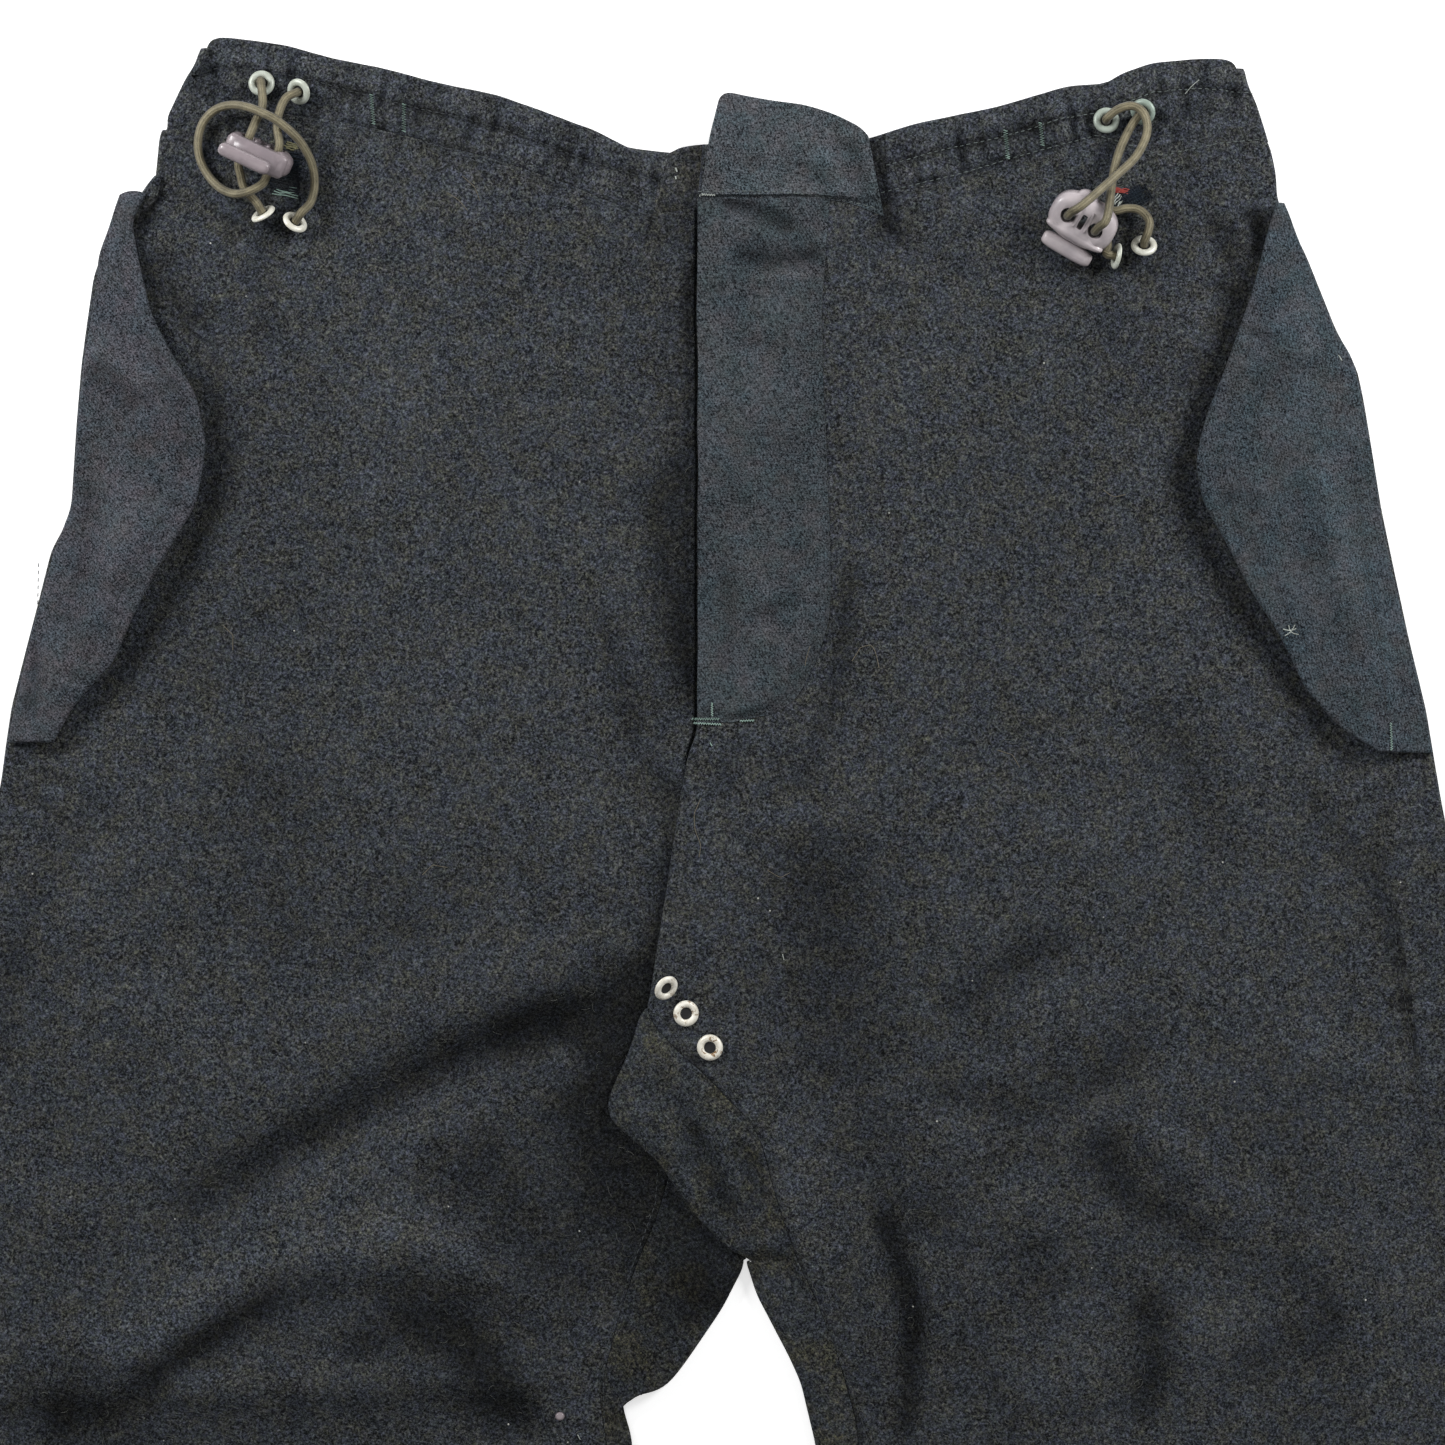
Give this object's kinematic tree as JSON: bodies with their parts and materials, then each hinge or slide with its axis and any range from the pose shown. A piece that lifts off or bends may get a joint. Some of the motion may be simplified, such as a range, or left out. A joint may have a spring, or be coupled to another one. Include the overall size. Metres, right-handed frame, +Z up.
{
  "type": "wool trousers",
  "caption": "Wool trousers laid flat, front up, with an elastic drawcord waist and cord locks, a wide fly placket, folded-back side pocket flaps and an eyeleted crotch gusset.",
  "frame": {"origin": "centre of the bounding box, on the surface that the trousers lie on", "axes": "+Y towards the waist, +X towards the wearer's left, +Z up, out of the front"},
  "size_m": [0.662, 1.0193, 0.0345],
  "materials": {
    "wool": "milled, napped charcoal wool with a brown and blue-grey melange",
    "twill_facing": "smoother blue-grey wool twill",
    "brown_facing": "brownish wool",
    "eyelet_metal": "dull pale nickel with traces of rust",
    "cord_lock_plastic": "mauve-grey moulded plastic",
    "drawcord": "khaki braided elastic cord"
  },
  "bodies": {
    "root": {"back_left": "wool", "back_right": "wool", "cord_left_a": "drawcord", "cord_left_b": "drawcord", "cord_right_a": "drawcord", "cord_right_b": "drawcord", "eyelet_crotch_1": "eyelet_metal", "eyelet_crotch_2": "eyelet_metal", "eyelet_crotch_3": "eyelet_metal", "eyelet_left_1": "eyelet_metal", "eyelet_left_2": "eyelet_metal", "eyelet_left_3": "eyelet_metal", "eyelet_left_4": "eyelet_metal", "eyelet_right_1": "eyelet_metal", "eyelet_right_2": "eyelet_metal", "eyelet_right_3": "eyelet_metal", "eyelet_right_4": "eyelet_metal", "fly_placket": "twill_facing", "fly_tab": "twill_facing", "fly_underlap": "brown_facing", "front_left": "wool", "front_right": "wool", "gusset_fold": "wool", "hem_left": "wool", "hem_right": "wool", "inseam_left": "wool", "inseam_right": "wool", "leg_cord_stop": "cord_lock_plastic", "pocket_flap_left": "twill_facing", "pocket_flap_right": "twill_facing", "toggle_button_left": "cord_lock_plastic", "toggle_button_right": "cord_lock_plastic", "toggle_left": "cord_lock_plastic", "toggle_right": "cord_lock_plastic", "waistband_back": "wool", "waistband_front_left": "wool", "waistband_front_right": "wool"}
  },
  "joints": []
}
